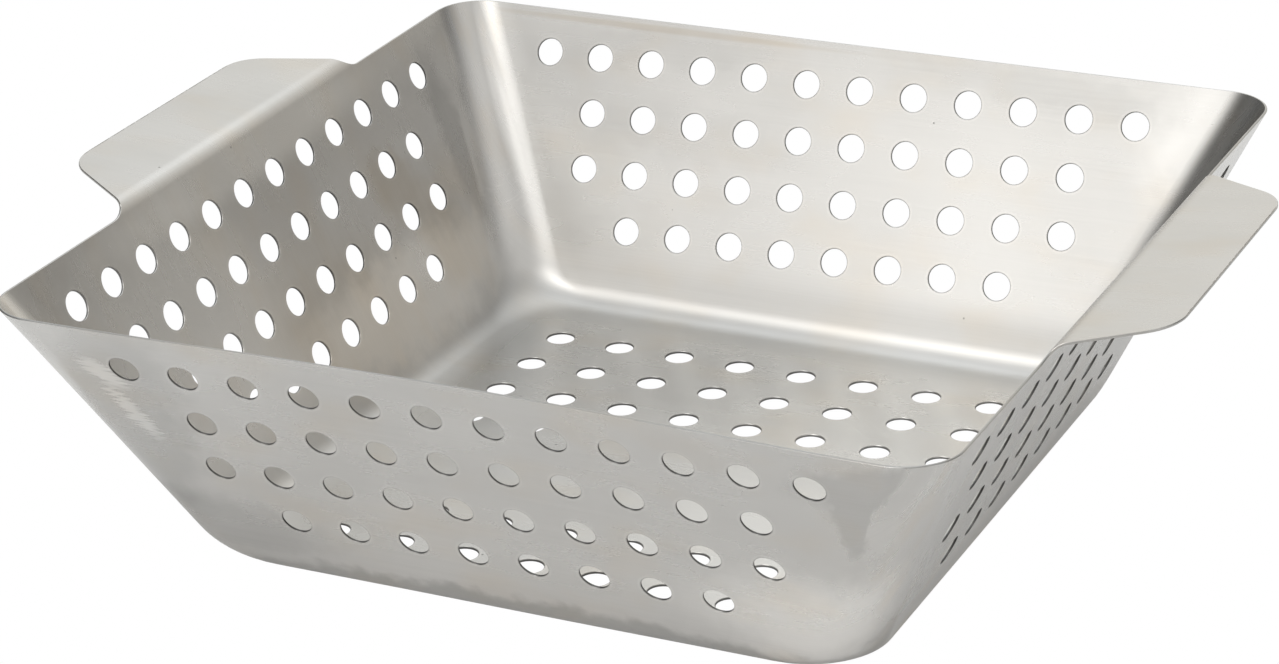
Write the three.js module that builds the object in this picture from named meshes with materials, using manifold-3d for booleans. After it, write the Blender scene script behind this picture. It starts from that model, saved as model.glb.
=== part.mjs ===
// Grill basket: one thin stainless sheet, pressed into an open square tray with sloping
// perforated walls, and two plain tab handles bent out from its left and right rims.
// Millimetres, +Z up, origin under the centre of the floor, handles along X, front at -Y.
// The sheet is divided into its flat, rounded and bent regions. Each is a solid of its own,
// with a hairline gap to its neighbours.
import * as THREE from 'three';
import { mergeVertices } from 'three/addons/utils/BufferGeometryUtils.js';
import Module from 'manifold-3d';

const wasm = await Module();
wasm.setup();

// Sheet and tray, measured on the outside of the sheet
const SHEET = 0.8;
const RIM_WIDTH = 305;
const DEPTH = 93.5;
const WALL_LEAN = THREE.MathUtils.degToRad(24.7);
const RIM_CORNER_RADIUS = 17;
const FOOT_CORNER_RADIUS = 19;
const WALL_FILLET_RADIUS = 12;
const CORNER_FILLET_RADIUS = 26;
const REGION_GAP = 0.3;
const FRONT_WALL_BOW = 3.5;

// Punched holes
const HOLE_DIAMETER = 9.6;
const HOLE_PITCH = 19.8;
const WALL_ROWS = [12, 10, 10, 8];
const TOP_ROW_BELOW_RIM = 15.6;
const ROW_SHIFT = { front: 2.5, right: 2.5, back: 3.5, left: 2 };
const FLOOR_HOLES_PER_SIDE = 8;
const FLOOR_PITCH = 22.6;
const PUNCH_LENGTH = 14;

// Tab handles
const TAB_BEND_RADIUS = 6;
const TAB_FLAT_LENGTH = 26.5;
const TAB_RISE = THREE.MathUtils.degToRad(5.2);
const TAB_ROOT_WIDTH = 143.5;
const TAB_TIP_WIDTH = 103.5;
const TAB_ROOT_FILLET = 10;
const TAB_CORNER_RADIUS = 16.5;

// Colour of the bare satin steel
const STEEL = 0xb7b5b0;

// Facets
const HOLE_SIDES = 8;
const CORNER_STEPS = 7;
const BOWED_WALL_STEPS = 6;
const FILLET_STEPS = 5;
const TAB_ARC_STEPS = 5;
const TAB_BEND_STEPS = 6;

// A profile rises from the flat floor round a fillet into a straight leaning line. foot is
// where the straight line would meet the floor.
function profile(foot, lean, fillet) {
  const turn = Math.PI / 2 - lean;
  const flatEnd = foot - fillet * Math.tan(turn / 2);
  const filletTop = fillet * (1 - Math.cos(turn));
  return {
    filletTop,
    flatEnd,
    distance(height) {
      if (height >= filletTop) {
        return foot + height * Math.tan(lean);
      }
      return flatEnd + Math.sqrt(fillet ** 2 - (fillet - height) ** 2);
    },
    slope(height) {
      if (height >= filletTop) {
        return Math.tan(lean);
      }
      const below = Math.max(fillet ** 2 - (fillet - height) ** 2, 1e-12);
      return (fillet - height) / Math.sqrt(below);
    },
  };
}

// Each level section is a rounded square. Its half width follows the walls' profile, and its
// corner radius is set so that the diagonal follows a profile with a larger fillet.
const DIAGONAL_CUT = Math.SQRT2 - 1;
const footHalf = RIM_WIDTH / 2 - DEPTH * Math.tan(WALL_LEAN);
const diagonalFoot = Math.SQRT2 * footHalf - DIAGONAL_CUT * FOOT_CORNER_RADIUS;
const diagonalRim = (Math.SQRT2 * RIM_WIDTH) / 2 - DIAGONAL_CUT * RIM_CORNER_RADIUS;
const diagonalLean = Math.atan((diagonalRim - diagonalFoot) / DEPTH);
const wallProfile = profile(footHalf, WALL_LEAN, WALL_FILLET_RADIUS);
const diagonalProfile = profile(diagonalFoot, diagonalLean, CORNER_FILLET_RADIUS);

function section(height) {
  const half = wallProfile.distance(height);
  const halfSlope = wallProfile.slope(height);
  const diagonal = diagonalProfile.distance(height);
  const diagonalSlope = diagonalProfile.slope(height);
  return {
    height,
    half,
    halfSlope,
    radius: (Math.SQRT2 * half - diagonal) / DIAGONAL_CUT,
    radiusSlope: (Math.SQRT2 * halfSlope - diagonalSlope) / DIAGONAL_CUT,
  };
}

// Level sections from one height to another. In between they follow the steps of the corner
// fillet and the top of the wall fillet, because the sheet is straight above both.
function traySections(low, high) {
  const heights = [low, wallProfile.filletTop, high];
  for (let i = 1; i <= FILLET_STEPS; i += 1) {
    const rise = 1 - Math.cos((Math.PI * i) / FILLET_STEPS / 2);
    heights.push(diagonalProfile.filletTop * rise);
  }
  const inside = heights.filter((height) => height >= low && height <= high);
  return inside.sort((a, b) => a - b).map(section);
}

// A closed sheet solid: a box of across x along cells, one cell thick, whose points are
// moved to where place(across, along) says, on the outside of the sheet, and then inwards
// against the outward normal for those on its inside.
function sheetSolid(across, along, place) {
  const geometry = new THREE.BoxGeometry(across, along, 1, across, along, 1);
  geometry.deleteAttribute('normal');
  geometry.deleteAttribute('uv');
  const merged = mergeVertices(geometry);
  const position = merged.attributes.position;
  for (let i = 0; i < position.count; i += 1) {
    const { point, outward } = place(
      Math.round(position.getX(i) + across / 2),
      Math.round(position.getY(i) + along / 2),
    );
    if (position.getZ(i) < 0) {
      point.addScaledVector(outward, -SHEET);
    }
    position.setXYZ(i, point.x, point.y, point.z);
  }
  return merged;
}

function toManifold(geometry) {
  const bare = geometry.clone();
  bare.deleteAttribute('normal');
  bare.deleteAttribute('uv');
  const merged = mergeVertices(bare);
  return new wasm.Manifold(
    new wasm.Mesh({
      numProp: 3,
      vertProperties: new Float32Array(merged.attributes.position.array),
      triVerts: new Uint32Array(merged.index.array),
    }),
  );
}

function fromManifold(solid) {
  const mesh = solid.getMesh();
  const geometry = new THREE.BufferGeometry();
  geometry.setAttribute('position', new THREE.BufferAttribute(mesh.vertProperties, 3));
  geometry.setIndex(new THREE.BufferAttribute(mesh.triVerts, 1));
  const flat = geometry.toNonIndexed();
  flat.computeVertexNormals();
  return flat;
}

// A punch is a prism centred on a point, with its axis along a direction.
function punch(point, direction) {
  const radius = HOLE_DIAMETER / 2;
  const geometry = new THREE.CylinderGeometry(radius, radius, PUNCH_LENGTH, HOLE_SIDES);
  const upright = new THREE.Vector3(0, 1, 0);
  geometry.applyQuaternion(new THREE.Quaternion().setFromUnitVectors(upright, direction));
  geometry.translate(point.x, point.y, point.z);
  return toManifold(geometry);
}

function pierce(geometry, punches) {
  return fromManifold(toManifold(geometry).subtract(wasm.Manifold.union(punches)));
}

// Part of the front (-Y) wall, from one height to another, between its two corners. Its bow
// is inwards, full at the middle of the rim, and nothing at the floor and at the corners.
function wallGeometry(low, high, bow) {
  const sections = traySections(low, high);
  const steps = bow > 0 ? BOWED_WALL_STEPS : 1;
  return sheetSolid(steps, sections.length - 1, (across, along) => {
    const { height, half, halfSlope, radius } = sections[along];
    const share = (2 * across) / steps - 1;
    const inset = bow * (height / DEPTH) * (1 - share ** 2) ** 2;
    const x = share * (half - radius - REGION_GAP / 2);
    return {
      point: new THREE.Vector3(x, inset - half, height),
      outward: new THREE.Vector3(0, -1, -halfSlope).normalize(),
    };
  });
}

function wallPunches(shift) {
  const outward = new THREE.Vector3(0, -Math.cos(WALL_LEAN), -Math.sin(WALL_LEAN));
  const punches = [];
  WALL_ROWS.forEach((count, row) => {
    const slant = TOP_ROW_BELOW_RIM + row * HOLE_PITCH;
    const y = slant * Math.sin(WALL_LEAN) - RIM_WIDTH / 2;
    const z = DEPTH - slant * Math.cos(WALL_LEAN);
    for (let i = 0; i < count; i += 1) {
      const x = (i - (count - 1) / 2) * HOLE_PITCH + shift;
      punches.push(punch(new THREE.Vector3(x, y, z), outward));
    }
  });
  return punches;
}

// The corner between the front (-Y) wall and the right (+X) wall.
function cornerGeometry() {
  const sections = traySections(0, DEPTH);
  return sheetSolid(CORNER_STEPS, sections.length - 1, (across, along) => {
    const { height, half, halfSlope, radius, radiusSlope } = sections[along];
    const margin = REGION_GAP / 2 / radius;
    const angle = THREE.MathUtils.lerp(-Math.PI / 2 + margin, -margin, across / CORNER_STEPS);
    const c = Math.cos(angle);
    const s = Math.sin(angle);
    const centre = half - radius;
    const fall = (halfSlope - radiusSlope) * (c - s) + radiusSlope;
    return {
      point: new THREE.Vector3(centre + radius * c, radius * s - centre, height),
      outward: new THREE.Vector3(c, s, -fall).normalize(),
    };
  });
}

// The flat floor: a rounded square plate with a square grid of holes.
function floorGeometry() {
  const { half, radius } = section(0);
  const centre = half - radius;
  const edge = half - REGION_GAP;
  const arc = radius - REGION_GAP;
  const outline = new THREE.Shape();
  outline.moveTo(-centre, -edge);
  outline.absarc(centre, -centre, arc, -Math.PI / 2, 0, false);
  outline.absarc(centre, centre, arc, 0, Math.PI / 2, false);
  outline.absarc(-centre, centre, arc, Math.PI / 2, Math.PI, false);
  outline.absarc(-centre, -centre, arc, Math.PI, 1.5 * Math.PI, false);
  return new THREE.ExtrudeGeometry(outline, {
    depth: SHEET,
    bevelEnabled: false,
    curveSegments: CORNER_STEPS,
  });
}

function floorPunches() {
  const up = new THREE.Vector3(0, 0, 1);
  const middle = (FLOOR_HOLES_PER_SIDE - 1) / 2;
  const punches = [];
  for (let row = 0; row < FLOOR_HOLES_PER_SIDE; row += 1) {
    for (let column = 0; column < FLOOR_HOLES_PER_SIDE; column += 1) {
      const x = (column - middle) * FLOOR_PITCH;
      const y = (row - middle) * FLOOR_PITCH;
      punches.push(punch(new THREE.Vector3(x, y, 0), up));
    }
  }
  return punches;
}

// Flat pattern of a tab: its half width at a distance from the rim, measured along the
// sheet. A fillet widens its root on each side, its sides taper, and its corners are round.
const tabBendTurn = Math.PI / 2 - WALL_LEAN - TAB_RISE;
const tabLength = TAB_BEND_RADIUS * tabBendTurn + TAB_FLAT_LENGTH;
const tabTaper = Math.atan((TAB_ROOT_WIDTH - TAB_TIP_WIDTH) / 2 / tabLength);
const tangentShift = 1 / Math.cos(tabTaper) - Math.tan(tabTaper);
const tangentDepth = 1 - Math.sin(tabTaper);

function tabHalfWidth(distance) {
  const fromTip = tabLength - distance;
  if (distance < TAB_ROOT_FILLET * tangentDepth) {
    const centre = TAB_ROOT_WIDTH / 2 + TAB_ROOT_FILLET * tangentShift;
    return centre - Math.sqrt(TAB_ROOT_FILLET ** 2 - (TAB_ROOT_FILLET - distance) ** 2);
  }
  if (fromTip < TAB_CORNER_RADIUS * tangentDepth) {
    const centre = TAB_TIP_WIDTH / 2 - TAB_CORNER_RADIUS * tangentShift;
    return centre + Math.sqrt(TAB_CORNER_RADIUS ** 2 - (TAB_CORNER_RADIUS - fromTip) ** 2);
  }
  return TAB_ROOT_WIDTH / 2 - distance * Math.tan(tabTaper);
}

// Distances at which the tab's outline or its bend needs a row of points.
function tabDistances() {
  const distances = [REGION_GAP, tabLength];
  for (let i = 1; i <= TAB_ARC_STEPS; i += 1) {
    const rise = 1 - Math.cos(((Math.PI / 2 - tabTaper) * i) / TAB_ARC_STEPS);
    distances.push(TAB_ROOT_FILLET * rise);
    distances.push(tabLength - TAB_CORNER_RADIUS * rise);
  }
  for (let i = 1; i <= TAB_BEND_STEPS; i += 1) {
    distances.push((TAB_BEND_RADIUS * tabBendTurn * i) / TAB_BEND_STEPS);
  }
  return distances.filter((distance) => distance >= REGION_GAP).sort((a, b) => a - b);
}

// The tab on the right (+X) rim: it carries on up the wall's line, turns outwards round the
// bend, and runs on flat, rising a little towards its tip.
function tabGeometry() {
  const distances = tabDistances();
  return sheetSolid(1, distances.length - 1, (across, along) => {
    const distance = distances[along];
    const turn = Math.min(distance / TAB_BEND_RADIUS, tabBendTurn);
    const straight = Math.max(distance - TAB_BEND_RADIUS * tabBendTurn, 0);
    const lean = WALL_LEAN + turn;
    const out = TAB_BEND_RADIUS * (Math.cos(WALL_LEAN) - Math.cos(lean));
    const up = TAB_BEND_RADIUS * (Math.sin(lean) - Math.sin(WALL_LEAN));
    const side = across === 0 ? -1 : 1;
    return {
      point: new THREE.Vector3(
        RIM_WIDTH / 2 + out + straight * Math.sin(lean),
        side * tabHalfWidth(distance),
        DEPTH + up + straight * Math.cos(lean),
      ),
      outward: new THREE.Vector3(Math.cos(lean), 0, -Math.sin(lean)),
    };
  });
}

const basket = new THREE.Group();

function addPiece(name, geometry, quarterTurns) {
  const satinSteel = new THREE.MeshStandardMaterial({
    color: STEEL,
    roughness: 0.38,
    metalness: 1,
  });
  const mesh = new THREE.Mesh(geometry, satinSteel);
  mesh.name = name;
  mesh.rotation.z = (quarterTurns * Math.PI) / 2;
  basket.add(mesh);
}

addPiece('floor', pierce(floorGeometry(), floorPunches()), 0);

const bendTop = wallProfile.filletTop - REGION_GAP / 2;
const wallFoot = wallProfile.filletTop + REGION_GAP / 2;
['front', 'right', 'back', 'left'].forEach((side, quarterTurns) => {
  const bow = side === 'front' ? FRONT_WALL_BOW : 0;
  const plain = wallGeometry(wallFoot, DEPTH, bow);
  addPiece(`${side}_wall`, pierce(plain, wallPunches(ROW_SHIFT[side])), quarterTurns);
  addPiece(`${side}_foot_bend`, wallGeometry(0, bendTop, bow), quarterTurns);
});

['front_right', 'back_right', 'back_left', 'front_left'].forEach((place, quarterTurns) => {
  addPiece(`${place}_corner`, cornerGeometry(), quarterTurns);
});

addPiece('right_handle', tabGeometry(), 0);
addPiece('left_handle', tabGeometry(), 2);

export default basket;
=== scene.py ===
"""Visual model of a grill basket: one thin stainless sheet, punched, brushed and pressed into an
open square tray with two tab handles bent out from its rims.

The sheet is built the way it is made. Each region is laid out flat with its punched holes, and
then a function puts every point on the pressed shape. Metres, +Z up, in the frame's own axes.
"""
import math

import bmesh
import bpy
import numpy as np
from mathutils import Matrix, Vector, noise
from mathutils.geometry import delaunay_2d_cdt
from mathutils.kdtree import KDTree


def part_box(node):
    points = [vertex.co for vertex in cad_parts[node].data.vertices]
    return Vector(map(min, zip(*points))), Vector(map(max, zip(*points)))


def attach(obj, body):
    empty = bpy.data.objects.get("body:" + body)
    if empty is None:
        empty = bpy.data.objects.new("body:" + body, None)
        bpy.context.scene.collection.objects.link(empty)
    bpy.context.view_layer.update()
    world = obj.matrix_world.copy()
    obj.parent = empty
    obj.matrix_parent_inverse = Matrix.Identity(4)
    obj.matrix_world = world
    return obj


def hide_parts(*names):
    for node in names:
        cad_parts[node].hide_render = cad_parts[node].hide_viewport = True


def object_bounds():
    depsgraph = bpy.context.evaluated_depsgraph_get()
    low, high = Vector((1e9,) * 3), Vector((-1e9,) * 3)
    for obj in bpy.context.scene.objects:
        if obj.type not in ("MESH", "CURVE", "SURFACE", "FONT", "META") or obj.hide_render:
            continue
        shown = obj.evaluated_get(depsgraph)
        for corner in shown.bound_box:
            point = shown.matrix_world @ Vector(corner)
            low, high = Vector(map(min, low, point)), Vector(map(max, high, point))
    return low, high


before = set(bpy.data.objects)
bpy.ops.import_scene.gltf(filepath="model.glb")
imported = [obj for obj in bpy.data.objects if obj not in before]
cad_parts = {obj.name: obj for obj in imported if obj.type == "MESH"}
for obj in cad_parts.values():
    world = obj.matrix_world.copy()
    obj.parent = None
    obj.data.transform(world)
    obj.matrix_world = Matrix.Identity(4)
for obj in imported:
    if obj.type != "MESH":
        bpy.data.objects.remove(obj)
cad_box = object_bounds()

MM = 0.001

# Tray, measured on the outside of the sheet
WALL_LEAN = math.radians(24.7)
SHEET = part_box("floor")[1].z
RIM_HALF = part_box("back_wall")[1].y
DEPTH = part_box("back_wall")[1].z - SHEET * math.sin(WALL_LEAN)
RIM_CORNER_RADIUS = 17 * MM
FOOT_CORNER_RADIUS = 19 * MM
WALL_FILLET_RADIUS = 12 * MM
CORNER_FILLET_RADIUS = 26 * MM
FRONT_WALL_BOW = 3.5 * MM

# Punched holes
HOLE_RADIUS = 4.8 * MM
HOLE_PITCH = 19.8 * MM
WALL_ROWS = (12, 10, 10, 8)
TOP_ROW_BELOW_RIM = 15.6 * MM
SIDES = ("front", "right", "back", "left")
ROW_SHIFT = {"front": 2.5 * MM, "right": 2.5 * MM, "back": 3.5 * MM, "left": 2.0 * MM}
FLOOR_HOLES_PER_SIDE = 8
FLOOR_PITCH = 22.6 * MM

# Tab handles
TAB_BEND_RADIUS = 6 * MM
TAB_FLAT_LENGTH = 26.5 * MM
TAB_RISE = math.radians(5.2)
TAB_ROOT_WIDTH = 143.5 * MM
TAB_TIP_WIDTH = 103.5 * MM
TAB_ROOT_FILLET = 10 * MM
TAB_CORNER_RADIUS = 16.5 * MM

# Fineness of the mesh. Grid points keep clear of the rings round a hole and of the outline, so
# that no thin triangle comes between them.
CELL = 5 * MM
HOLE_SEGMENTS = 28
HOLE_RINGS = (0.0, 0.45 * MM, 1.3 * MM)
CORNER_STEPS = 16
FILLET_STEPS = 9
TAB_ARC_STEPS = 8
TAB_BEND_STEPS = 9
BLEND_ROWS = 4
RIM_COLUMNS = 56
RIM_END_COLUMNS = 12
GRID_TO_HOLE = 0.4 * CELL
GRID_TO_OUTLINE = 0.45 * CELL

# Differences small enough to ignore. The layout's own tolerance is in millimetres.
SLIVER_AREA = 1e-3 * MM * MM
INSIDE_HOLE_MARGIN = 0.02 * MM
LAYOUT_TOLERANCE = 1e-5
SAME_HEIGHT = 1e-6 * MM
SAME_ROW = 0.001 * MM
WELD_DISTANCE = 0.002 * MM


# ---------------------------------------------------------------- pressed shape

def profile(foot, lean, fillet):
    """A line that rises from the floor round a fillet into a lean. Gives its distance from the
    middle of the tray at a height, and the fillet's top."""
    turn = math.pi / 2 - lean
    flat_end = foot - fillet * math.tan(turn / 2)
    fillet_top = fillet * (1 - math.cos(turn))

    def distance(height):
        if height >= fillet_top:
            return foot + height * math.tan(lean)
        return flat_end + math.sqrt(max(fillet ** 2 - (fillet - height) ** 2, 0))

    return distance, fillet_top


DIAGONAL_CUT = math.sqrt(2) - 1
foot_half = RIM_HALF - DEPTH * math.tan(WALL_LEAN)
diagonal_foot = math.sqrt(2) * foot_half - DIAGONAL_CUT * FOOT_CORNER_RADIUS
diagonal_rim = math.sqrt(2) * RIM_HALF - DIAGONAL_CUT * RIM_CORNER_RADIUS
diagonal_lean = math.atan((diagonal_rim - diagonal_foot) / DEPTH)
wall_distance, WALL_FILLET_TOP = profile(foot_half, WALL_LEAN, WALL_FILLET_RADIUS)
diagonal_distance, CORNER_FILLET_TOP = profile(
    diagonal_foot, diagonal_lean, CORNER_FILLET_RADIUS
)
WALL_FILLET_TURN = math.pi / 2 - WALL_LEAN
STRAIGHT_SLANT = (DEPTH - WALL_FILLET_TOP) / math.cos(WALL_LEAN)
FULL_SLANT = STRAIGHT_SLANT + WALL_FILLET_RADIUS * WALL_FILLET_TURN


def section(height):
    """Half width and corner radius of the level rounded square at a height."""
    half = wall_distance(height)
    return half, (math.sqrt(2) * half - diagonal_distance(height)) / DIAGONAL_CUT


def height_at(slant):
    """Height of a point on a wall from its distance down the sheet from the rim."""
    if slant <= STRAIGHT_SLANT:
        return DEPTH - slant * math.cos(WALL_LEAN)
    angle = WALL_FILLET_TURN - (slant - STRAIGHT_SLANT) / WALL_FILLET_RADIUS
    return WALL_FILLET_RADIUS * (1 - math.cos(max(angle, 0)))


def slant_at(height):
    """The inverse of height_at."""
    if height >= WALL_FILLET_TOP:
        return (DEPTH - height) / math.cos(WALL_LEAN)
    angle = math.acos(1 - height / WALL_FILLET_RADIUS)
    return STRAIGHT_SLANT + WALL_FILLET_RADIUS * (WALL_FILLET_TURN - angle)


def place_on_wall(x, slant, bow):
    """A point of the front wall. The wall is bowed inwards at its rim by bow."""
    height = height_at(slant)
    half, radius = section(height)
    share = min(1, abs(x) / (half - radius))
    return x, bow * (height / DEPTH) * (1 - share ** 2) ** 2 - half, height


def place_on_corner(angle, height):
    """A point of the corner between the front and right walls, from -90 to 0 degrees."""
    half, radius = section(height)
    centre = half - radius
    return centre + radius * math.cos(angle), radius * math.sin(angle) - centre, height


tab_bend_turn = math.pi / 2 - WALL_LEAN - TAB_RISE
tab_length = TAB_BEND_RADIUS * tab_bend_turn + TAB_FLAT_LENGTH
tab_taper = math.atan((TAB_ROOT_WIDTH - TAB_TIP_WIDTH) / 2 / tab_length)


def tab_half_width(distance):
    """Half width of a tab laid flat, at a distance from the rim."""
    shift = 1 / math.cos(tab_taper) - math.tan(tab_taper)
    depth = 1 - math.sin(tab_taper)
    from_tip = tab_length - distance
    if distance < TAB_ROOT_FILLET * depth:
        centre = TAB_ROOT_WIDTH / 2 + TAB_ROOT_FILLET * shift
        return centre - math.sqrt(TAB_ROOT_FILLET ** 2 - (TAB_ROOT_FILLET - distance) ** 2)
    if from_tip < TAB_CORNER_RADIUS * depth:
        centre = TAB_TIP_WIDTH / 2 - TAB_CORNER_RADIUS * shift
        return centre + math.sqrt(TAB_CORNER_RADIUS ** 2 - (TAB_CORNER_RADIUS - from_tip) ** 2)
    return TAB_ROOT_WIDTH / 2 - distance * math.tan(tab_taper)


def place_on_tab(x, distance):
    """A point of a tab on the front wall's rim, bent outwards."""
    turn = min(distance / TAB_BEND_RADIUS, tab_bend_turn)
    straight = max(distance - TAB_BEND_RADIUS * tab_bend_turn, 0)
    lean = WALL_LEAN + turn
    out = TAB_BEND_RADIUS * (math.cos(WALL_LEAN) - math.cos(lean))
    up = TAB_BEND_RADIUS * (math.sin(lean) - math.sin(WALL_LEAN))
    return (
        x,
        -(RIM_HALF + out + straight * math.sin(lean)),
        DEPTH + up + straight * math.cos(lean),
    )


# ---------------------------------------------------------------- flat layouts

def circle(centre, radius, count):
    """Evenly spaced points of a circle."""
    return [
        (
            centre[0] + radius * math.cos(2 * math.pi * i / count),
            centre[1] + radius * math.sin(2 * math.pi * i / count),
        )
        for i in range(count)
    ]


def inside_outline(point, outline):
    """Whether a point is inside a polygon, by counting crossings."""
    x, y = point
    inside = False
    for (x0, y0), (x1, y1) in zip(outline, outline[1:] + outline[:1]):
        if (y0 > y) != (y1 > y) and x < x0 + (y - y0) / (y1 - y0) * (x1 - x0):
            inside = not inside
    return inside


def edge_distance(point, outline):
    """Distance from a point to the nearest side of a polygon."""
    ends = np.array(outline)
    along = np.roll(ends, -1, axis=0) - ends
    offset = np.array(point) - ends
    share = np.clip((offset * along).sum(1) / (along ** 2).sum(1), 0, 1)
    return np.sqrt(((offset - share[:, None] * along) ** 2).sum(1)).min()


def punched_layout(outline, holes):
    """Triangulates a flat polygon with round holes. Each hole is edged by close rings, and the
    rest is filled with an even grid of points."""
    points = list(outline)
    edges = [(i, (i + 1) % len(outline)) for i in range(len(outline))]
    for hole in holes:
        for ring in HOLE_RINGS:
            first = len(points)
            points += circle(hole, HOLE_RADIUS + ring, HOLE_SEGMENTS)
            edges += [
                (first + i, first + (i + 1) % HOLE_SEGMENTS) for i in range(HOLE_SEGMENTS)
            ]
    low, high = np.min(outline, axis=0), np.max(outline, axis=0)
    clear_of_hole = HOLE_RADIUS + HOLE_RINGS[-1] + GRID_TO_HOLE
    centres = np.array(holes)
    for row in range(1, math.ceil((high[1] - low[1]) / CELL)):
        for column in range(1, math.ceil((high[0] - low[0]) / CELL)):
            point = (low[0] + (column + 0.5 * (row % 2)) * CELL, low[1] + row * CELL)
            if np.hypot(*(centres - point).T).min() < clear_of_hole:
                continue
            if inside_outline(point, outline) and edge_distance(point, outline) > GRID_TO_OUTLINE:
                points.append(point)
    scaled = [Vector((x / MM, y / MM)) for x, y in points]
    found, _, faces, sources, _, _ = delaunay_2d_cdt(scaled, edges, [], 0, LAYOUT_TOLERANCE)
    kept = [points[source[0]] for source in sources]
    assert len(found) == len(kept) == len(points)
    middle_radius = HOLE_RADIUS * math.cos(math.pi / HOLE_SEGMENTS) - INSIDE_HOLE_MARGIN
    triangles = []
    for face in faces:
        a, b, c = (np.array(kept[i]) for i in face)
        doubled_area = abs((b - a)[0] * (c - a)[1] - (b - a)[1] * (c - a)[0])
        middle = (a + b + c) / 3
        in_hole = np.hypot(*(centres - middle).T).min() < middle_radius
        if doubled_area > SLIVER_AREA and not in_hole and inside_outline(middle, outline):
            triangles.append(tuple(face))
    return kept, triangles


def grid_faces(columns, rows):
    """Quads of a grid whose points run along columns + 1 across, row after row."""
    across = columns + 1
    return [
        (
            row * across + column,
            row * across + column + 1,
            (row + 1) * across + column + 1,
            (row + 1) * across + column,
        )
        for row in range(rows)
        for column in range(columns)
    ]


def level_heights():
    """Heights of the level rows that walls and corners share, from the floor to the rim."""
    heights = [
        WALL_FILLET_RADIUS * (1 - math.cos(WALL_FILLET_TURN * i / FILLET_STEPS))
        for i in range(FILLET_STEPS + 1)
    ]
    rise = CORNER_FILLET_TOP - WALL_FILLET_TOP
    heights += [WALL_FILLET_TOP + rise * (i + 1) / BLEND_ROWS for i in range(BLEND_ROWS)]
    rows = math.ceil((DEPTH - CORNER_FILLET_TOP) / CELL)
    heights += [
        CORNER_FILLET_TOP + (DEPTH - CORNER_FILLET_TOP) * (i + 1) / rows for i in range(rows)
    ]
    return heights


LEVELS = level_heights()
FOOT_COLUMNS = math.ceil(2 * section(0)[0] / CELL)
TAB_COLUMNS = 2 * math.ceil(TAB_ROOT_WIDTH / 2 / CELL)


def rim_places(has_tab):
    """Places along a wall's rim, with the tab's own points where there is one."""
    half, radius = section(DEPTH)
    end = half - radius
    if not has_tab:
        return [-end + 2 * end * i / RIM_COLUMNS for i in range(RIM_COLUMNS + 1)]
    root = tab_half_width(0)
    side = [
        root + (end - root) * (i / RIM_END_COLUMNS) for i in range(1, RIM_END_COLUMNS + 1)
    ]
    middle = [root * (2 * i / TAB_COLUMNS - 1) for i in range(TAB_COLUMNS + 1)]
    return [-x for x in reversed(side)] + middle + side


def wall_holes(shift):
    """Centres of a wall's holes, as (x, slant)."""
    return [
        ((i - (count - 1) / 2) * HOLE_PITCH + shift, TOP_ROW_BELOW_RIM + row * HOLE_PITCH)
        for row, count in enumerate(WALL_ROWS)
        for i in range(count)
    ]


# ---------------------------------------------------------------- the sheet

class Sheet:
    """Collects the outside faces of the sheet's regions, with each point's place on the flat
    blank, along the grain and across it."""

    def __init__(self):
        self.points = []
        self.blank = []
        self.faces = []

    def add(self, points, blank, faces, quarter_turns):
        turn = Matrix.Rotation(quarter_turns * math.pi / 2, 3, "Z")
        first = len(self.points)
        self.points += [turn @ Vector(point) for point in points]
        for x, y in blank:
            placed = turn @ Vector((x, y, 0))
            self.blank.append((placed.x, placed.y))
        self.faces += [tuple(first + i for i in face) for face in faces]


def blank_y(slant):
    """Where a wall's point lies on the blank, measured towards -Y."""
    return -(section(0)[0] + FULL_SLANT - slant)


def add_wall(sheet, side, quarter_turns):
    """One wall with the fillet at its foot, and its tab if it has one."""
    bow = FRONT_WALL_BOW if side == "front" else 0
    has_tab = side in ("left", "right")
    above = [h for h in LEVELS if h >= WALL_FILLET_TOP - SAME_HEIGHT]
    below = [h for h in LEVELS if h <= WALL_FILLET_TOP + SAME_HEIGHT]

    def end(height):
        half, radius = section(height)
        return half - radius

    # plain wall above the fillet, as (x, slant)
    rim = [(x, 0.0) for x in rim_places(has_tab)]
    right = [(end(h), slant_at(h)) for h in reversed(above[1:-1])]
    seam_end, seam_slant = end(above[0]), slant_at(above[0])
    seam = [
        (seam_end * (1 - 2 * i / FOOT_COLUMNS), seam_slant) for i in range(FOOT_COLUMNS + 1)
    ]
    left = [(-x, slant) for x, slant in reversed(right)]
    outline = rim + right + seam + left
    flat, triangles = punched_layout(outline, wall_holes(ROW_SHIFT[side]))
    sheet.add(
        [place_on_wall(x, slant, bow) for x, slant in flat],
        [(x, blank_y(slant)) for x, slant in flat],
        triangles,
        quarter_turns,
    )

    # the fillet at its foot
    flat = [
        (end(height) * (1 - 2 * i / FOOT_COLUMNS), slant_at(height))
        for height in below
        for i in range(FOOT_COLUMNS + 1)
    ]
    sheet.add(
        [place_on_wall(x, slant, bow) for x, slant in flat],
        [(x, blank_y(slant)) for x, slant in flat],
        grid_faces(FOOT_COLUMNS, len(below) - 1),
        quarter_turns,
    )

    if has_tab:
        distances = tab_rows()
        flat = [
            (tab_half_width(d) * (2 * i / TAB_COLUMNS - 1), d)
            for d in distances
            for i in range(TAB_COLUMNS + 1)
        ]
        sheet.add(
            [place_on_tab(x, d) for x, d in flat],
            [(x, blank_y(-d)) for x, d in flat],
            grid_faces(TAB_COLUMNS, len(distances) - 1),
            quarter_turns,
        )


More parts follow.
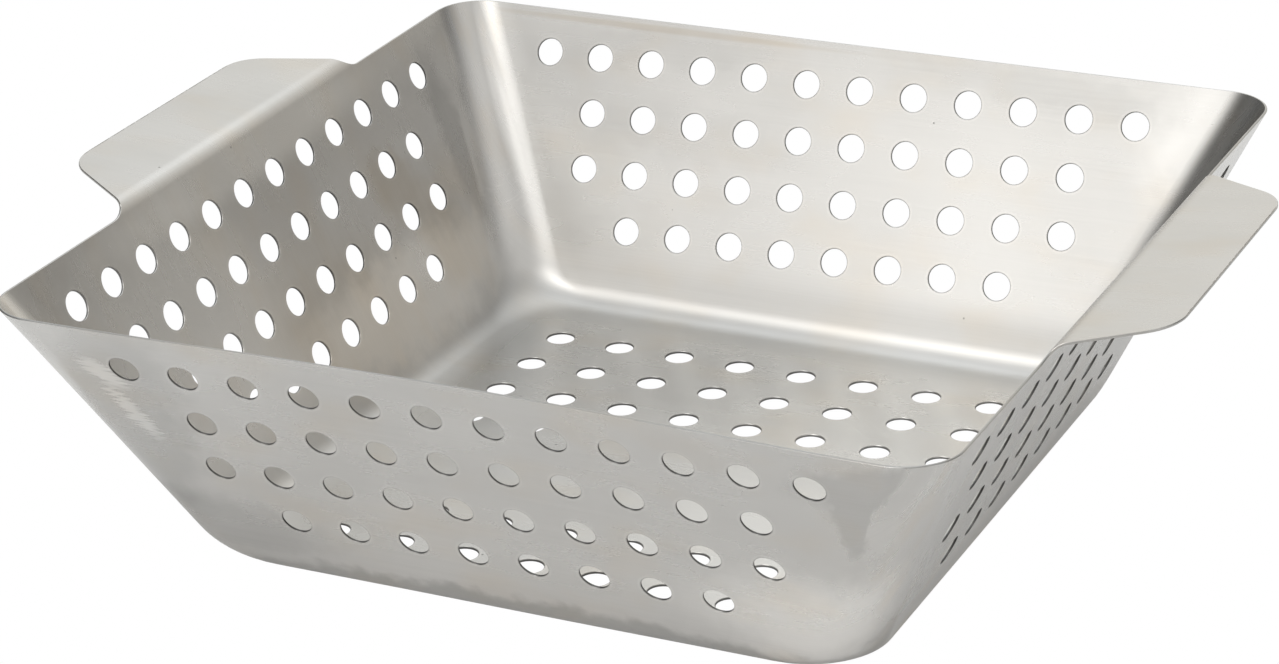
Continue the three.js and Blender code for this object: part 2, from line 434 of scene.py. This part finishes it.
def tab_rows():
    """Distances from the rim of a tab's rows: close together round its root, bend and tip."""
    rows = {0.0, tab_length}
    for i in range(1, TAB_ARC_STEPS + 1):
        rise = 1 - math.cos((math.pi / 2 - tab_taper) * i / TAB_ARC_STEPS)
        rows.add(TAB_ROOT_FILLET * rise)
        rows.add(tab_length - TAB_CORNER_RADIUS * rise)
    for i in range(1, TAB_BEND_STEPS + 1):
        rows.add(TAB_BEND_RADIUS * tab_bend_turn * i / TAB_BEND_STEPS)
    ordered = sorted(rows)
    return [d for i, d in enumerate(ordered) if i == 0 or d - ordered[i - 1] > SAME_ROW]


def add_corner(sheet, quarter_turns):
    """One rounded corner. On the blank it is a fan round the same centre."""
    points, blank = [], []
    for height in LEVELS:
        half, radius = section(height)
        centre = half - radius
        reach = -blank_y(slant_at(height)) - centre
        for i in range(CORNER_STEPS + 1):
            angle = -math.pi / 2 * (1 - i / CORNER_STEPS)
            points.append(place_on_corner(angle, height))
            blank.append((centre + reach * math.cos(angle), reach * math.sin(angle) - centre))
    sheet.add(points, blank, grid_faces(CORNER_STEPS, len(LEVELS) - 1), quarter_turns)


def add_floor(sheet):
    """The flat floor, whose outline uses the feet of the walls and corners."""
    half, radius = section(0)
    outline = []
    for quarter in range(4):
        turn = Matrix.Rotation(quarter * math.pi / 2, 2)
        front = [
            ((half - radius) * (2 * i / FOOT_COLUMNS - 1), -half)
            for i in range(FOOT_COLUMNS)
        ]
        arc = [
            place_on_corner(-math.pi / 2 * (1 - i / CORNER_STEPS), 0)[:2]
            for i in range(CORNER_STEPS)
        ]
        outline += [tuple(turn @ Vector(point)) for point in front + arc]
    middle = (FLOOR_HOLES_PER_SIDE - 1) / 2
    holes = [
        ((column - middle) * FLOOR_PITCH, (row - middle) * FLOOR_PITCH)
        for row in range(FLOOR_HOLES_PER_SIDE)
        for column in range(FLOOR_HOLES_PER_SIDE)
    ]
    flat, triangles = punched_layout(outline, holes)
    sheet.add([(x, y, 0) for x, y in flat], flat, triangles, 0)


# ---------------------------------------------------------------- thickness and edges

WAVE_HEIGHT = 0.25 * MM
WAVE_LENGTH = 70 * MM
WAVE_FADE = 12 * MM
EDGE_ROUND_OUTSIDE = 0.10 * MM
EDGE_ROUND_INSIDE = 0.20 * MM
EDGE_MARK_WIDTH = 1.3 * MM
RIM_BAND = 5 * MM
# The share of the cut faces' roughness and painted shade that the rim's own cut edge takes
RIM_CUT = 0.4


def weld(sheet):
    """One mesh of the sheet's outside, with each point's place on the blank."""
    work = bmesh.new()
    blank_x = work.verts.layers.float.new("blank_x")
    blank_y_layer = work.verts.layers.float.new("blank_y")
    verts = []
    for point, (x, y) in zip(sheet.points, sheet.blank):
        vert = work.verts.new(point)
        vert[blank_x], vert[blank_y_layer] = x, y
        verts.append(vert)
    for face in sheet.faces:
        work.faces.new([verts[i] for i in face])
    bmesh.ops.remove_doubles(work, verts=work.verts, dist=WELD_DISTANCE)
    bmesh.ops.recalc_face_normals(work, faces=work.faces)
    work.normal_update()
    lowest = min(work.faces, key=lambda face: face.calc_center_median().z)
    if lowest.normal.z > 0:
        bmesh.ops.reverse_faces(work, faces=work.faces)
    work.normal_update()
    work.verts.index_update()
    work.verts.ensure_lookup_table()
    return work


def pressed_in(vert):
    """An outside point, pushed in a little by the sheet's slow waves. The rim stays true."""
    wave = 0.5 + 0.5 * noise.noise(vert.co / WAVE_LENGTH, noise_basis="PERLIN_ORIGINAL")
    wave *= min(max((DEPTH - vert.co.z) / WAVE_FADE, 0), 1)
    return vert.co - vert.normal * wave * WAVE_HEIGHT


def on_rim(vert):
    return vert.co.z > DEPTH - RIM_BAND


def hole_gaps(work):
    """Each point's distance from the nearest hole's edge, as a share of EDGE_MARK_WIDTH."""
    hole_edge = [vert for vert in work.verts if vert.is_boundary and not on_rim(vert)]
    tree = KDTree(len(hole_edge))
    for vert in hole_edge:
        tree.insert(vert.co, vert.index)
    tree.balance()
    return [min(tree.find(vert.co)[2] / EDGE_MARK_WIDTH, 1) for vert in work.verts]


def ways_out(edges):
    """The way out of the material at each edge point, in the sheet's own plane."""
    outwards = {}
    for edge in edges:
        loop = edge.link_loops[0]
        start, end = loop.vert, loop.link_loop_next.vert
        across = (end.co - start.co).cross(edge.link_faces[0].normal).normalized()
        for vert in (start, end):
            outwards[vert] = outwards.get(vert, Vector()) + across
    return {
        vert: (way - way.dot(vert.normal) * vert.normal).normalized()
        for vert, way in outwards.items()
    }


def thicken(work):
    """Gives the welded outside its thickness: an inside, and rounded edges round every hole
    and along the rim. Returns points, faces, the points' marks and the edges to crease."""
    blank_x = work.verts.layers.float["blank_x"]
    blank_y_layer = work.verts.layers.float["blank_y"]
    outside = [pressed_in(vert) for vert in work.verts]
    inside = [point - vert.normal * SHEET for point, vert in zip(outside, work.verts)]
    blank = [(vert[blank_x], vert[blank_y_layer]) for vert in work.verts]
    count = len(outside)
    points = outside + inside
    marks = {
        "blank": blank + blank,
        "inside": [0.0] * count + [1.0] * count,
        "edge_gap": hole_gaps(work) * 2,
        "cut_face_and_shade": [0.0] * (2 * count),
    }

    edges = [edge for edge in work.edges if edge.is_boundary]
    outer_lip, inner_lip = {}, {}
    for vert, way in ways_out(edges).items():
        index = vert.index
        edge_point = outside[index]
        points[index] = edge_point - way * EDGE_ROUND_OUTSIDE
        points[count + index] = inside[index] - way * EDGE_ROUND_INSIDE
        outer_lip[index] = len(points)
        points.append(edge_point - vert.normal * EDGE_ROUND_OUTSIDE)
        inner_lip[index] = len(points)
        points.append(edge_point - vert.normal * (SHEET - EDGE_ROUND_INSIDE))
        marks["blank"] += [blank[index], blank[index]]
        marks["inside"] += [0.0, 1.0]
        marks["edge_gap"] += [1.0, 1.0]
        marks["cut_face_and_shade"] += [RIM_CUT if on_rim(vert) else 1.0] * 2

    faces = [tuple(vert.index for vert in face.verts) for face in work.faces]
    faces += [tuple(count + i for i in reversed(face)) for face in faces]
    creases = set()
    for edge in edges:
        loop = edge.link_loops[0]
        a, b = loop.vert.index, loop.link_loop_next.vert.index
        rings = (
            (a, b),
            (outer_lip[a], outer_lip[b]),
            (inner_lip[a], inner_lip[b]),
            (count + a, count + b),
        )
        creases |= {frozenset(rings[0]), frozenset(rings[-1])}
        faces += [(b0, a0, a1, b1) for (a0, b0), (a1, b1) in zip(rings, rings[1:])]
    return points, faces, marks, creases


def pressed_sheet():
    """The whole basket as one object."""
    sheet = Sheet()
    add_floor(sheet)
    for quarter_turns, side in enumerate(SIDES):
        add_wall(sheet, side, quarter_turns)
        add_corner(sheet, quarter_turns)
    work = weld(sheet)
    points, faces, marks, creases = thicken(work)
    work.free()
    mesh = bpy.data.meshes.new("pressed_sheet")
    mesh.from_pydata([tuple(point) for point in points], [], faces)
    mesh.update()
    mesh.shade_smooth()
    blank = mesh.attributes.new("blank", "FLOAT_VECTOR", "POINT")
    blank.data.foreach_set("vector", [v for x, y in marks["blank"] for v in (x, y, 0)])
    sharp = mesh.attributes.new("sharp_edge", "BOOLEAN", "EDGE")
    sharp.data.foreach_set("value", [frozenset(edge.vertices) in creases for edge in mesh.edges])
    for name in ("inside", "edge_gap", "cut_face_and_shade"):
        mesh.attributes.new(name, "FLOAT", "POINT").data.foreach_set("value", marks[name])
    piece = bpy.data.objects.new("pressed_sheet", mesh)
    bpy.context.scene.collection.objects.link(piece)
    return piece


# ---------------------------------------------------------------- camera

CAMERA_TARGET = Vector((-7.5, -4.3, 48.8)) * MM
CAMERA_DISTANCE = 1.2025
CAMERA_AZIMUTH = math.radians(26.25)
CAMERA_ELEVATION = math.radians(23.7)
CAMERA_ROLL = math.radians(-2.15)
CAMERA_LENS = 107.2
CAMERA_SENSOR = 36
CAMERA_FAR = 100


def add_camera():
    """The photograph's viewpoint."""
    camera = bpy.data.cameras.new("camera")
    camera.lens = CAMERA_LENS
    camera.sensor_width = CAMERA_SENSOR
    camera.clip_end = CAMERA_FAR
    holder = bpy.data.objects.new("camera", camera)
    away = Vector((
        math.sin(CAMERA_AZIMUTH) * math.cos(CAMERA_ELEVATION),
        -math.cos(CAMERA_AZIMUTH) * math.cos(CAMERA_ELEVATION),
        math.sin(CAMERA_ELEVATION),
    ))
    turned = away.to_track_quat("Z", "Y").to_matrix()
    rolled = turned @ Matrix.Rotation(CAMERA_ROLL, 3, "Z")
    holder.matrix_world = Matrix.Translation(
        CAMERA_TARGET + away * CAMERA_DISTANCE
    ) @ rolled.to_4x4()
    bpy.context.scene.collection.objects.link(holder)
    bpy.context.scene.camera = holder


# ---------------------------------------------------------------- brushed steel

class Nodes:
    """Builds a node tree a value at a time. Every value is a socket or a plain number."""

    def __init__(self, tree):
        self.tree = tree

    def add(self, kind, inputs, output=0, **settings):
        node = self.tree.nodes.new(kind)
        for name, value in settings.items():
            setattr(node, name, value)
        for name, value in inputs.items():
            if isinstance(value, bpy.types.NodeSocket):
                self.tree.links.new(value, node.inputs[name])
            else:
                node.inputs[name].default_value = value
        return node.outputs[output]

    def math(self, operation, *values):
        return self.add("ShaderNodeMath", dict(enumerate(values)), operation=operation)

    def vector(self, operation, *values, output=0):
        return self.add(
            "ShaderNodeVectorMath", dict(enumerate(values)), output, operation=operation
        )

    def scaled(self, vector, factor):
        return self.add("ShaderNodeVectorMath", {0: vector, "Scale": factor}, operation="SCALE")

    def attribute(self, name, output):
        return self.add("ShaderNodeAttribute", {}, output, attribute_name=name)

    def noise(self, place, size, detail=2.0, offset=0.0):
        """Smooth noise from 0 to 1, with features of the given size (x, y, z) in place's units."""
        moved = self.add(
            "ShaderNodeMapping",
            {
                "Vector": place,
                "Location": (offset, -offset, 0),
                "Scale": tuple(1 / length for length in size),
            },
        )
        return self.add(
            "ShaderNodeTexNoise", {"Vector": moved, "Scale": 1.0, "Detail": detail}
        )

    def ramp(self, value, low, high, result_low=0.0, result_high=1.0):
        """A smooth step: result_low up to low, and result_high from high on."""
        return self.add(
            "ShaderNodeMapRange",
            {
                "Value": value,
                "From Min": low,
                "From Max": high,
                "To Min": result_low,
                "To Max": result_high,
            },
            interpolation_type="SMOOTHSTEP",
        )

    def patch(self, place, centre, half_size, degrees=0.0, softness=0.6):
        """1 inside a turned ellipse on the sheet, fading to 0 round it."""
        local = self.add(
            "ShaderNodeMapping",
            {
                "Vector": place,
                "Location": (*centre, 0),
                "Rotation": (0, 0, math.radians(degrees)),
                "Scale": (*half_size, 1),
            },
            vector_type="TEXTURE",
        )
        distance = self.vector("LENGTH", local, output="Value")
        return self.ramp(distance, 1 - softness / 2, 1 + softness / 2, 1.0, 0.0)

    def total(self, *values):
        result = values[0]
        for value in values[1:]:
            result = self.math("ADD", result, value)
        return result

    def product(self, *values):
        result = values[0]
        for value in values[1:]:
            result = self.math("MULTIPLY", result, value)
        return result

    def swing(self, value):
        """Turns noise round 0.5 into a swing round 0."""
        return self.math("SUBTRACT", value, 0.5)

    def weighed(self, values, amounts):
        """The sum of the named values, each times its own amount."""
        return self.total(*(self.product(values[name], amounts[name]) for name in amounts))

    def mix(self, share, first, second):
        return self.add(
            "ShaderNodeMix",
            {"Factor": share, "A": first, "B": second},
            "Result",
            data_type="RGBA",
        )


STEEL_TONE = 0.58
STEEL_COLOUR = (1.0, 0.985, 0.955, 1)
BROWN_FILM = (1.0, 0.93, 0.83, 1)
STEEL_ROUGHNESS = 0.27
BUMP_HEIGHT = 0.01 * MM
BUMP_STRENGTH = 0.5

# Noise over the blank: the size of its features in millimetres along the grain, across it and
# through the sheet, then its detail and its offset. The grain is long fine lines.
PATTERNS = {
    "grain": ((60, 0.6, 1), 0, 0),
    "streak": ((70, 2.6, 1), 2, 31),
    "cloud": ((38, 26, 1), 3, 7),
    "wide_cloud": ((110, 80, 1), 2, 53),
    "film": ((34, 22, 1), 2, 91),
    "comb": ((18, 0.9, 1), 2, 17),
}

# Where noise turns into the brown film, and how strong the film is there and in brown marks
FILM_SHOWS = (0.45, 0.75)
FILM_IN_NOISE = 0.5
FILM_IN_MARKS = 0.7

# Millimetres from the middle of the blank, as the larger of the ways along and across it: where
# the stretched metal round the floor starts and ends, and where the tabs start
STRETCH_START = (92, 104)
STRETCH_END = (118, 132)
TAB_START = (210, 216)

# Round a punched edge, as shares of EDGE_MARK_WIDTH: the dark line of painted shade, then the
# bright ring
EDGE_PAINTED_SHADE_END = (0, 0.3)
EDGE_BRIGHT_START = (0.2, 0.45)
EDGE_BRIGHT_END = (0.6, 1)

# Pits: the size of a cell in millimetres, where a pit's spot ends as shares of a cell, the share
# of cells that have one, how much larger that share is in the crowded patch, and the depth as
# a multiple of BUMP_HEIGHT
PIT_CELL = 7
PIT_END = (0.03, 0.075)
PIT_SHARE = 0.06
CROWDED_PIT_SHARE = 0.3
PIT_DEPTH = 4

# Outlines of marks, in millimetres: how far a wobbly one strays and how finely, and how far a
# combed one is dragged along the grain
WOBBLE = Vector((16, 11, 0))
WOBBLE_SCALE = 0.12
WOBBLE_DETAIL = 3
COMB_REACH = 15

# Marks on the steel and patches of painted light and shade, as soft ellipses: the kind of outline,
# then for each ellipse its centre and half size in millimetres on the blank, its turn in degrees
# and its softness
MARKS = {
    # outside
    "scuffs": ("combed", ((-115, -192), (8, 3.2), 40, 0.7), ((-110, -176), (12, 2.6), 63, 0.8)),
    # painted shade: darker at the left end of the front wall's outside and low on its left
    "front_left_painted_shade": ("wobbly", ((-116, -166), (24, 46), 12, 0.7), ((-102, -128), (40, 13), 0, 0.8)),
    # painted shade: a dark band along the foot of the front wall's outside, for the shadow it
    # reflects
    "front_foot_painted_shade": ("wobbly", ((0, -103), (128, 15), 0, 0.3)),
    "damp": ("wobbly", ((134, -199), (27, 9), -8, 0.6), ((125, -183), (9, 15), 0, 0.5)),
    # painted reflection of lit floor: paler low on the front wall's outside near its right corner
    "front_right_painted_reflection": ("wobbly", ((108, -132), (38, 20), 0, 1.2)),
    # painted shade: the right wall's outside darker, for the shadowed floor it reflects
    "right_wall": ("wobbly", ((160, 0), (50, 120), 0, 0.6)),
    # inside
    "dull_back": (
        "wobbly",
        ((-52, 172), (42, 9), -6, 0.9),
        ((-75, 200), (46, 6), 4, 0.9),
        ((78, 203), (48, 6), -4, 0.9),
    ),
    "brown_left": (
        "wobbly",
        ((-142, 84), (20, 15), 20, 1.0),
        ((-168, 66), (12, 12), 0, 0.9),
        ((-140, 10), (26, 44), -15, 1.1),
    ),
    "brown_rim": ("plain", ((-70, 208), (60, 1.2), 0, 1.0)),
    # painted shade: a dark band across the inside of the back-left corner
    "back_left_corner_painted_shade": ("wobbly", ((-166, 111), (34, 7), -6, 0.9)),
    # painted highlight: a bright streak down the inside of the back-left corner
    "back_left_corner_painted_highlight": ("plain", ((-150, 172), (7, 34), 45, 1.0)),
    # painted light: the inside of the left wall lighter over its front half, low down towards the
    # back, and along its rim
    "left_wall_front_painted_light": ("wobbly", ((-158, -78), (46, 66), 0, 0.8)),
    "left_wall_foot_painted_light": ("wobbly", ((-132, 46), (18, 60), 0, 0.8)),
    "left_wall_rim_painted_light": ("plain", ((-206, -8), (9, 74), 0, 0.9)),
    # painted light: the floor's inside lighter on its right
    "floor_right_painted_light": ("wobbly", ((66, 20), (60, 90), 0, 1.2)),
    # painted light: the back wall's inside lighter across its middle
    "back_wall": ("wobbly", ((-2, 150), (82, 52), 0, 1.0)),
    # painted light: the inside of the back-right corner lighter high up
    "back_right_corner": ("wobbly", ((134, 190), (22, 22), 0, 1.2)),
    "crossed_scratches": ("plain", ((-135, 134), (16, 10), 40, 1.2)),
    "floor_scratches": ("plain", ((52, 46), (26, 22), 0, 1.2)),
    "crowded_pits": ("plain", ((-98, 62), (28, 52), 0, 0.9)),
}

# Thin straight scratches: the mark they lie in, their angle to the grain in degrees, their width
# and length in millimetres, their offset, and the noise where they start and are full
SCRATCHES = (
    ("crossed_scratches", 38, (0.5, 13, 1), 5, 0.58, 0.7),
    ("floor_scratches", -52, (0.45, 20, 1), 3, 0.66, 0.73),
)

# How much lighter or darker each thing makes the steel, as a share of its tone
TONES = {
    "grain": 0.045,
    "streak": 0.035,
    "cloud": 0.15,
    "wide_cloud": 0.10,
    "tab": 0.03,
    "scratches": 0.16,
    "pits": -0.55,
    # painted shade: a dark line along every punched edge
    "edge_painted_shade": -0.2,
    "edge_bright": 0.05,
    # the cut faces and rounded lips, darkened with painted shade, less at the rim's edge
    "cut_face_and_shade": -0.78,
}
# On the outside the scuffs and the damp stain are the steel's own. The darker patches at the foot
# and left end of the front wall and on the right wall are painted shade, and the pale patch low at
# the front wall's right is a painted reflection of lit floor
OUTSIDE_TONES = {
    "scuffs": 0.26,
    "front_right_painted_reflection": 0.32,
    "right_wall": -0.09,
    "front_left_painted_shade": -0.18,
    "front_foot_painted_shade": -0.28,
    "damp": -0.15,
}
# On the inside every patch that lightens the steel is painted light, one of them a painted
# highlight in the back-left corner, and the dark band in that corner is painted shade
INSIDE_TONES = {
    "left_wall_front_painted_light": 0.24,
    "left_wall_foot_painted_light": 0.3,
    "left_wall_rim_painted_light": 0.24,
    "floor_right_painted_light": 0.26,
    "back_wall": 0.11,
    "back_left_corner_painted_highlight": 0.28,
    "back_right_corner": 0.2,
    "dull_back": -0.055,
    "brown_left": -0.09,
    "brown_rim": -0.09,
    "back_left_corner_painted_shade": -0.2,
}

# How much rougher each thing makes the steel
ROUGHENING = {
    "streak": 0.03,
    "cloud": 0.08,
    "scuffs": 0.12,
    "damp": 0.05,
    "brown": 0.04,
    "cut_face_and_shade": 0.15,
    "stretched": 0.14,
}


def mark_patches(nodes, flat, comb):
    """Each of the marks and patches of painted light and shade as a value: 0 off it, 1 on it, and
    more where its ellipses overlap.
    """
    wobble = nodes.add(
        "ShaderNodeTexNoise",
        {"Vector": flat, "Scale": WOBBLE_SCALE, "Detail": WOBBLE_DETAIL},
        "Color",
    )
    wobbly = nodes.vector("MULTIPLY_ADD", wobble, WOBBLE, flat)
    wobbly = nodes.vector("SUBTRACT", wobbly, WOBBLE / 2)
    dragged = nodes.product(nodes.swing(comb), COMB_REACH)
    combed = nodes.vector("ADD", nodes.add("ShaderNodeCombineXYZ", {"X": dragged}), flat)
    outlines = {"plain": flat, "wobbly": wobbly, "combed": combed}
    return {
        name: nodes.total(*(nodes.patch(outlines[outline], *ellipse) for ellipse in ellipses))
        for name, (outline, *ellipses) in MARKS.items()
    }


def scratches(nodes, flat, degrees, size, offset, start, full):
    """Thin straight scratches at an angle to the grain."""
    turned = nodes.add(
        "ShaderNodeMapping", {"Vector": flat, "Rotation": (0, 0, math.radians(degrees))}
    )
    return nodes.ramp(nodes.noise(turned, size, detail=1, offset=offset), start, full)


def pit_spots(nodes, flat, crowded):
    """Tiny pits, few over most of the sheet and more in the crowded patch."""
    cells = nodes.add(
        "ShaderNodeTexVoronoi", {"Vector": flat, "Scale": 1 / PIT_CELL}, "Distance"
    ).node
    spot = nodes.ramp(cells.outputs["Distance"], *PIT_END, 1, 0)
    chance = nodes.add("ShaderNodeSeparateColor", {"Color": cells.outputs["Color"]}, "Red")
    rarity = nodes.math("SUBTRACT", 1 - PIT_SHARE, nodes.product(crowded, CROWDED_PIT_SHARE))
    return nodes.product(spot, nodes.math("GREATER_THAN", chance, rarity))


def steel_material():
    """Brushed stainless sheet, with patches of painted light and shade. Places are millimetres on
    the flat blank, x along the grain.
    """
    material = bpy.data.materials.new("brushed_steel")
    material.use_nodes = True
    tree = material.node_tree
    nodes = Nodes(tree)
    flat = nodes.scaled(nodes.attribute("blank", "Vector"), 1 / MM)
    inside = nodes.attribute("inside", "Fac")
    outside = nodes.math("SUBTRACT", 1, inside)
    edge_gap = nodes.attribute("edge_gap", "Fac")
    apart = nodes.add("ShaderNodeSeparateXYZ", {0: nodes.vector("ABSOLUTE", flat)}).node
    from_middle = nodes.math("MAXIMUM", apart.outputs["X"], apart.outputs["Y"])

    patterns = {name: nodes.noise(flat, *pattern) for name, pattern in PATTERNS.items()}
    patches = mark_patches(nodes, flat, patterns["comb"])
    # the damp stain is no darker where its drip leaves it, but it is rougher there
    damp = patches["damp"]
    patches["damp"] = nodes.math("MINIMUM", damp, 1)
    brown = nodes.product(inside, nodes.total(patches["brown_left"], patches["brown_rim"]))
    scratched = nodes.total(*(
        nodes.product(scratches(nodes, flat, *kind), patches[mark]) for mark, *kind in SCRATCHES
    ))
    pits = nodes.product(pit_spots(nodes, flat, patches["crowded_pits"]), inside)

    looks = {
        # the brushing and soft clouds
        "grain": nodes.swing(patterns["grain"]),
        "streak": nodes.swing(patterns["streak"]),
        "cloud": nodes.swing(patterns["cloud"]),
        "wide_cloud": nodes.swing(patterns["wide_cloud"]),
        # metal stretched round the floor's edge is duller, and the tabs are a little paler
        "stretched": nodes.product(
            nodes.ramp(from_middle, *STRETCH_START), nodes.ramp(from_middle, *STRETCH_END, 1, 0)
        ),
        "tab": nodes.ramp(from_middle, *TAB_START),
        # a dark line of painted shade at a punched edge, a faint bright ring round it, and the cut
        # face itself, which is rougher and darkened with painted shade
        "edge_painted_shade": nodes.ramp(edge_gap, *EDGE_PAINTED_SHADE_END, 1, 0),
        "edge_bright": nodes.product(
            nodes.ramp(edge_gap, *EDGE_BRIGHT_START), nodes.ramp(edge_gap, *EDGE_BRIGHT_END, 1, 0)
        ),
        "cut_face_and_shade": nodes.attribute("cut_face_and_shade", "Fac"),
        # wear
        "scratches": nodes.product(inside, scratched),
        "pits": pits,
        "scuffs": nodes.product(outside, patches["scuffs"]),
        "damp": nodes.product(outside, damp),
        "brown": brown,
    }
    # the tone: the steel's own marks, and the patches of painted light and shade on the outside
    # and inside
    tone = nodes.total(
        1,
        nodes.weighed(looks, TONES),
        nodes.product(outside, nodes.weighed(patches, OUTSIDE_TONES)),
        nodes.product(inside, nodes.weighed(patches, INSIDE_TONES)),
    )
    film = nodes.total(
        nodes.ramp(patterns["film"], *FILM_SHOWS, 0, FILM_IN_NOISE),
        nodes.product(brown, FILM_IN_MARKS),
    )
    colour = nodes.mix(nodes.math("MINIMUM", film, 1), STEEL_COLOUR, BROWN_FILM)
    roughness = nodes.total(STEEL_ROUGHNESS, nodes.weighed(looks, ROUGHENING))
    height = nodes.total(patterns["streak"], nodes.product(pits, -PIT_DEPTH))
    bump = nodes.add(
        "ShaderNodeBump",
        {"Height": height, "Strength": BUMP_STRENGTH, "Distance": BUMP_HEIGHT},
        "Normal",
    )
    shader = tree.nodes["Principled BSDF"]
    shader.inputs["Metallic"].default_value = 1
    shaded = nodes.scaled(colour, nodes.product(tone, STEEL_TONE))
    tree.links.new(shaded, shader.inputs["Base Color"])
    tree.links.new(roughness, shader.inputs["Roughness"])
    tree.links.new(bump, shader.inputs["Normal"])
    return material


# ---------------------------------------------------------------- light and stage

NEUTRAL = (1.0, 0.99, 0.97)
WARM = (1.0, 0.96, 0.88)
COOL = (0.97, 1.0, 1.02)

# Soft round lights of the studio: name, azimuth, elevation, focus, strength and tint. Azimuth is
# 0 in front of the basket and 90 at its right, and a higher focus is a smaller light.
SOFT_LIGHTS = (
    ("key", -12, 16, 80, 3.7, NEUTRAL),
    ("key_top", -12, 53, 26, 4.5, NEUTRAL),
    ("key_left", -30, 30, 30, 0.7, NEUTRAL),
    ("left_fill", -75, 10, 20, 0.25, WARM),
    ("right_fill", 65, 25, 4.5, 1.15, NEUTRAL),
    ("back_fill", 170, 12, 9, 1.0, WARM),
    ("back_left_fill", 210, 10, 16, 0.6, WARM),
    ("high_left_fill", 210, 60, 6.5, 1.6, COOL),
    ("overhead", 0, 80, 25, 0.2, COOL),
)

# The paper is the white floor the camera sees, and the table is the one the steel reflects
STAGE_SIZE = 30
PAPER_BELOW = 0.3 * MM
TABLE_BELOW = 0.4 * MM
TABLE_ALBEDO = 0.8
TABLE_GLOW = 0.18


def studio_world():
    """A white room with soft round lights in it. The camera sees plain white."""
    world = bpy.data.worlds.new("studio")
    world.use_nodes = True
    tree = world.node_tree
    nodes = Nodes(tree)
    direction = nodes.add("ShaderNodeTexCoord", {}, "Generated")
    light = (0, 0, 0)
    for name, azimuth, elevation, focus, strength, tint in SOFT_LIGHTS:
        turn, rise = math.radians(azimuth), math.radians(elevation)
        towards = (
            math.sin(turn) * math.cos(rise),
            -math.cos(turn) * math.cos(rise),
            math.sin(rise),
        )
        facing = nodes.vector("DOT_PRODUCT", direction, towards, output="Value")
        glow = nodes.math("EXPONENT", nodes.product(nodes.math("SUBTRACT", facing, 1.0), focus))
        glow.node.label = name
        light = nodes.vector("ADD", light, nodes.scaled(tint, nodes.product(glow, strength)))
    room = tree.nodes["Background"]
    tree.links.new(light, room.inputs["Color"])
    backdrop = nodes.add(
        "ShaderNodeBackground", {"Color": (1, 1, 1, 1), "Strength": 1.0}, "Background"
    )
    seen = nodes.add("ShaderNodeLightPath", {}, "Is Camera Ray")
    mixed = nodes.add("ShaderNodeMixShader", {0: seen, 1: room.outputs[0], 2: backdrop})
    tree.links.new(mixed, tree.nodes["World Output"].inputs["Surface"])
    bpy.context.scene.world = world


def stage_plane(name, below, albedo, glow):
    """A level plane some way below the basket, with a plain pale material."""
    bpy.ops.mesh.primitive_plane_add(size=STAGE_SIZE, location=(0, 0, cad_box[0].z - below))
    plane = bpy.context.object
    plane.name = name
    material = bpy.data.materials.new(name)
    material.use_nodes = True
    shader = material.node_tree.nodes["Principled BSDF"]
    shader.inputs["Base Color"].default_value = (albedo, albedo, albedo, 1)
    shader.inputs["Roughness"].default_value = 1
    shader.inputs["Specular IOR Level"].default_value = 0
    shader.inputs["Emission Color"].default_value = (1, 1, 1, 1)
    shader.inputs["Emission Strength"].default_value = glow
    plane.data.materials.append(material)
    return plane


def add_stage():
    """The floor the camera sees is evenly white. The one the steel reflects takes shadows."""
    paper = stage_plane("stage_paper", PAPER_BELOW, 0, 1)
    paper.visible_glossy = False
    paper.visible_diffuse = False
    paper.visible_shadow = False
    table = stage_plane("stage_table", TABLE_BELOW, TABLE_ALBEDO, TABLE_GLOW)
    table.visible_camera = False


sheet_piece = pressed_sheet()
sheet_piece.data.materials.append(steel_material())
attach(sheet_piece, "root")
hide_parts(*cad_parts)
add_camera()
add_stage()
studio_world()
bpy.context.scene.view_settings.view_transform = "Standard"
